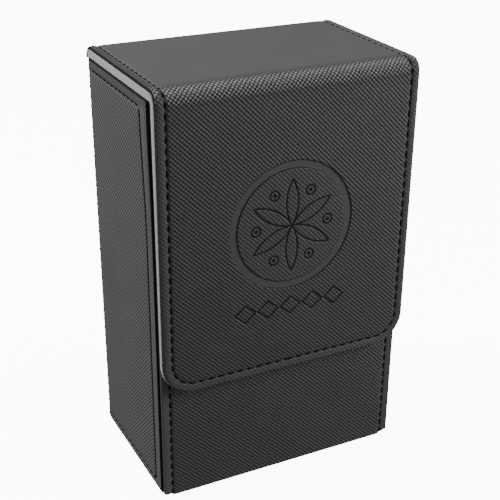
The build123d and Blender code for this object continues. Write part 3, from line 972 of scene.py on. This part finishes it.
WALL_LINING_BOTTOM = FLOOR_TOP - LINING
linings = {}
for wall, along, inward, inner_at, half, lip in (
    ("front", (1, 0, 0), (0, 1, 0), INNER_FRONT, INNER_X, INNER_FRONT - FRONT_Y - LEATHER),
    ("back", (1, 0, 0), (0, -1, 0), -INNER_BACK, INNER_X, BACK_Y - LEATHER - INNER_BACK),
    ("left_side", (0, 1, 0), (1, 0, 0), -INNER_X, None, BODY_X - LEATHER - INNER_X),
    ("right_side", (0, 1, 0), (-1, 0, 0), -INNER_X, None, BODY_X - LEATHER - INNER_X),
):
    place, v_flat = wall_place(WALL_LINING_BOTTOM, inner_at, along, inward)
    ends = (-half, half) if half else (INNER_FRONT + 0.02, INNER_BACK - 0.02)
    v_end = v_flat + lip - LINING - 0.1
    rows = runs((0, v_flat - 1, 2.5), (v_flat - 1, v_flat, 0.15), (v_flat, v_end, 0.5))
    columns = runs((*ends, 2.5))
    linings[wall] = sheet_shell(f"{wall}_lining_sheet", columns, rows, place, lining_lift, LINING, {},
                                [LINING_DARK], stride=1)


def floor_lift(u, v):
    edge = np.minimum(INNER_X - np.abs(u), np.minimum(v - INNER_FRONT, INNER_BACK - v))
    return -0.02 - 0.15 * np.exp(-edge / 1.2)


base_lining = sheet_shell("base_lining_sheet", edged(-INNER_X, INNER_X, 2.5, (3, 0.5)),
                          edged(INNER_FRONT, INNER_BACK, 2.5, (3, 0.5)),
                          flat_place((0, 0, FLOOR_TOP), (1, 0, 0), (0, 1, 0), (0, 0, 1)), floor_lift,
                          LINING - 0.05, {}, [LINING_DARK], stride=1)


# ------------------------------------------------------------------ stitches
def stitch_rows(name, route, length, place, sink=STITCH_SINK, start=0.5):
    """Stitches along route(distance) -> (u, v), each a short thread that dives in at both ends."""
    count = int(length / STITCH_PITCH - start + 0.5)
    sides, stations = 8, 9
    dive = 0.34
    ring = np.linspace(0, 2 * math.pi, sides, endpoint=False)
    vertices, faces, uv = [], [], []
    for k in range(count):
        middle = (k + start + 0.5) * STITCH_PITCH
        at = middle + np.linspace(-0.5, 0.5, stations) * STITCH_LENGTH
        u, v = route(at)
        points, normals = place(u, v)
        bow = np.cos(np.linspace(-1, 1, stations) * math.pi / 2) ** 0.7
        points = points + normals * (-sink - dive * (1 - bow))[:, None]
        forward = np.gradient(points, axis=0)
        forward /= np.linalg.norm(forward, axis=1)[:, None]
        across = np.cross(normals, forward)
        above = np.cross(forward, across)
        radius = THREAD_RADIUS * (0.55 + 0.45 * bow)
        base = sum(len(b) for b in vertices)
        body = points[:, None] + radius[:, None, None] * (
            np.cos(ring)[None, :, None] * across[:, None] * 1.1
            + np.sin(ring)[None, :, None] * above[:, None] * 0.85)
        vertices.append(body.reshape(-1, 3))
        for i in range(stations - 1):
            for j in range(sides):
                a = base + i * sides + j
                b = base + i * sides + (j + 1) % sides
                faces.append((a, b, b + sides, a + sides))
        faces.append(tuple(base + j for j in range(sides)))
        faces.append(tuple(base + (stations - 1) * sides + j for j in range(sides)))
        station, turn = np.meshgrid(at, ring / (2 * math.pi), indexing="ij")
        uv.append(np.stack([turn.ravel(), station.ravel()], 1))
    return make_mesh(name, np.concatenate(vertices), faces, np.concatenate(uv), None, [THREAD])


def join(name, parts):
    """One object from several."""
    first = parts[0]
    with bpy.context.temp_override(active_object=first, selected_editable_objects=parts):
        bpy.ops.object.join()
    first.name = name
    first.data.name = name
    return first


corner_radius = STRIP_CORNER - LID_SEAM
SEAM_SIDE = S_END - FLAP_CORNER
SEAM_HALF = SEAM_SIDE + corner_radius * math.pi / 2 + LID_X - FLAP_CORNER


def strip_seam(sign):
    """Distance along the seam, from s = 0 down one side and round to the lower edge's middle."""

    def route(d):
        angle = np.clip((d - SEAM_SIDE) / corner_radius, 0, math.pi / 2)
        past = np.clip(d - SEAM_SIDE - corner_radius * math.pi / 2, 0, None)
        x = LID_X - FLAP_CORNER + corner_radius * np.cos(angle) - past
        s = np.minimum(d, SEAM_SIDE) + corner_radius * np.sin(angle)
        return sign * x, s

    return route


def part_of(route, start):
    return lambda d: route(d + start)


first_fold = math.ceil(S_FOLD / STITCH_PITCH) * STITCH_PITCH
last_lid = first_fold - math.ceil(S_HINGE_END / STITCH_PITCH) * STITCH_PITCH
lid_from = first_fold - last_lid
lid_stitches = join("lid_stitches", [
    stitch_rows(f"lid_row_{side}", part_of(strip_seam(sign), lid_from), last_lid, strip_place, start=0.0)
    for side, sign in (("left", -1), ("right", 1))])
flap_stitches = join("flap_stitches", [
    stitch_rows(f"flap_row_{side}", part_of(strip_seam(sign), first_fold), SEAM_HALF - first_fold, strip_place,
                start=0.0)
    for side, sign in (("left", -1), ("right", 1))])


def upright_route(x):
    return lambda d: (np.full(len(d), x), d)


def upright_stitches(name, seam_x, place):
    return join(name, [stitch_rows(f"{name}_{k}", upright_route(x), RIM_Z - 3, place, start=0.0)
                       for k, x in enumerate((-seam_x, seam_x))])


front_stitches = upright_stitches("front_stitches", FRONT_SEAM_X, FRONT_FACE)
back_stitches = upright_stitches("back_stitches", BACK_SEAM_X, BACK_FACE)


def side_run(fixed, start, upright):
    """One straight run of the side's rectangle of stitching."""
    if upright:
        lean = 1.0 if fixed < T_SEAM_BACK else 0.0
        return lambda d: (fixed + lean * side_lean(start + d), start + d)
    return lambda d: (start + d, np.full(len(d), fixed))


side_stitches = {}
for side, sign in (("left", -1), ("right", 1)):
    parts = []
    for k, (fixed, start, length, upright) in enumerate((
        (T_SEAM_FRONT, SIDE_SEAM_LOW, SIDE_SEAM_HIGH - SIDE_SEAM_LOW, True),
        (T_SEAM_BACK, SIDE_SEAM_LOW, SIDE_SEAM_HIGH - SIDE_SEAM_LOW, True),
        (SIDE_SEAM_LOW, T_SEAM_FRONT, T_SEAM_BACK - T_SEAM_FRONT, False),
        (SIDE_SEAM_HIGH, T_SEAM_FRONT, T_SEAM_BACK - T_SEAM_FRONT, False),
    )):
        parts.append(stitch_rows(f"{side}_run_{k}", side_run(fixed, start, upright), length, side_place(sign),
                                 sink=0.20, start=0.0))
    side_stitches[side] = join(f"{side}_side_stitches", parts)


# ------------------------------------------------------------------ bodies and replaced nodes
def settle(piece, slot, *nodes):
    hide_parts(*nodes)


settle(lid_cover, "black_leather", "lid_leather")
settle(hinge_cover, "black_leather", "hinge_leather")
settle(flap_cover, "black_leather", "flap_leather", "fold_leather")
settle(lid_core, "grey_lining", "lid_lining")
settle(flap_core, "grey_lining", "flap_lining")
settle(hinge_lining, "grey_lining", "hinge_lining")
settle(fold_lining, "grey_lining", "fold_lining")
settle(front_cover, "black_leather", "front_leather")
settle(back_cover, "black_leather", "back_leather")
settle(base_cover, "black_leather", "base_leather")
settle(base_lining, "grey_lining", "base_lining")
settle(lid_stitches, "thread", "lid_thread")
settle(flap_stitches, "thread", "flap_thread")
settle(front_stitches, "thread", "front_thread")
settle(back_stitches, "thread", "back_thread")
for side in ("left", "right"):
    settle(side_covers[side], "black_leather", f"{side}_side_leather")
    settle(side_stitches[side], "thread", f"{side}_side_thread")
for wall, piece in linings.items():
    settle(piece, "grey_lining", f"{wall}_lining")

for piece in (lid_cover, lid_core, lid_stitches):
    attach(piece, "lid")
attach(flap_core, "flap")
for piece in (front_cover, back_cover, base_cover, base_lining, front_stitches, back_stitches,
              *side_covers.values(), *side_stitches.values(), *linings.values()):
    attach(piece, "box")
for piece in (hinge_cover, hinge_lining):
    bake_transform(piece)
for piece in (flap_cover, fold_lining, flap_stitches):
    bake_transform(piece)


# ------------------------------------------------------------------ floor, light and camera
def floor():
    """A wide floor that shines white to the camera and leaves the box's own light alone."""
    look = Finish("floor_white")
    cloud = look.noise(look.place(), 3.0, 2.0)
    look.surface(Base_Color=look.mix(cloud, grey(0.88), grey(0.92)), Roughness=0.9, Specular_IOR_Level=0.1,
                 Emission_Color=(1, 1, 1, 1), Emission_Strength=10)
    reach = 15000.0
    vertices = [(-reach, -reach, 0), (reach, -reach, 0), (reach, reach, 0), (-reach, reach, 0)]
    piece = make_mesh("studio_floor", vertices, [(0, 1, 2, 3)], materials=[look.material])
    piece.location.z = -0.02 * MM
    piece.visible_diffuse = False
    piece.visible_glossy = False


def softbox(name, place, size, power):
    """A square area light that faces the middle of the box."""
    light = bpy.data.lights.new(name, "AREA")
    light.shape = "RECTANGLE"
    light.size = light.size_y = size
    light.energy = power
    lamp = bpy.data.objects.new(name, light)
    lamp.location = place
    aim = Vector((0, 0, 0.07)) - lamp.location
    lamp.rotation_mode = "QUATERNION"
    lamp.rotation_quaternion = aim.to_track_quat("-Z", "Y")
    bpy.context.scene.collection.objects.link(lamp)


def studio():
    """A strong softbox stands high at the left rear and a weaker one at the front right.

    A weak one hangs high on the right, and a small one low on the right lifts the front's lower part."""
    softbox("left_softbox", (-0.62, 0.32, 0.62), 0.45, 18.5)
    softbox("right_softbox", (0.42, -0.27, 0.29), 0.28, 3.2)
    softbox("low_card", (0.34, -0.24, 0.05), 0.16, 0.36)
    softbox("top_softbox", (0.42, -0.15, 0.95), 0.3, 1.6)
    world = bpy.data.worlds.new("studio_world")
    world.use_nodes = True
    background = world.node_tree.nodes["Background"]
    background.inputs["Color"].default_value = (1, 1, 1, 1)
    background.inputs["Strength"].default_value = 0.40
    bpy.context.scene.world = world


def camera():
    """The camera stands to the front left and looks down on the box."""
    azimuth, elevation, roll = math.radians(27.4), math.radians(26.3), math.radians(0.75)
    data = bpy.data.cameras.new("camera")
    data.sensor_width = 36.0
    data.lens = 77.31
    data.shift_x, data.shift_y = -0.024, 0.04
    data.clip_start, data.clip_end = 0.01, 20
    eye = bpy.data.objects.new("camera", data)
    eye.location = Vector((-137.1, -273.3, 210.6)) * MM
    level = math.cos(elevation)
    look = Vector((math.sin(azimuth) * level, math.cos(azimuth) * level, -math.sin(elevation)))
    eye.rotation_mode = "QUATERNION"
    eye.rotation_quaternion = look.to_track_quat("-Z", "Y") @ Quaternion((0, 0, 1), roll)
    bpy.context.scene.collection.objects.link(eye)
    bpy.context.scene.camera = eye


floor()
studio()
camera()
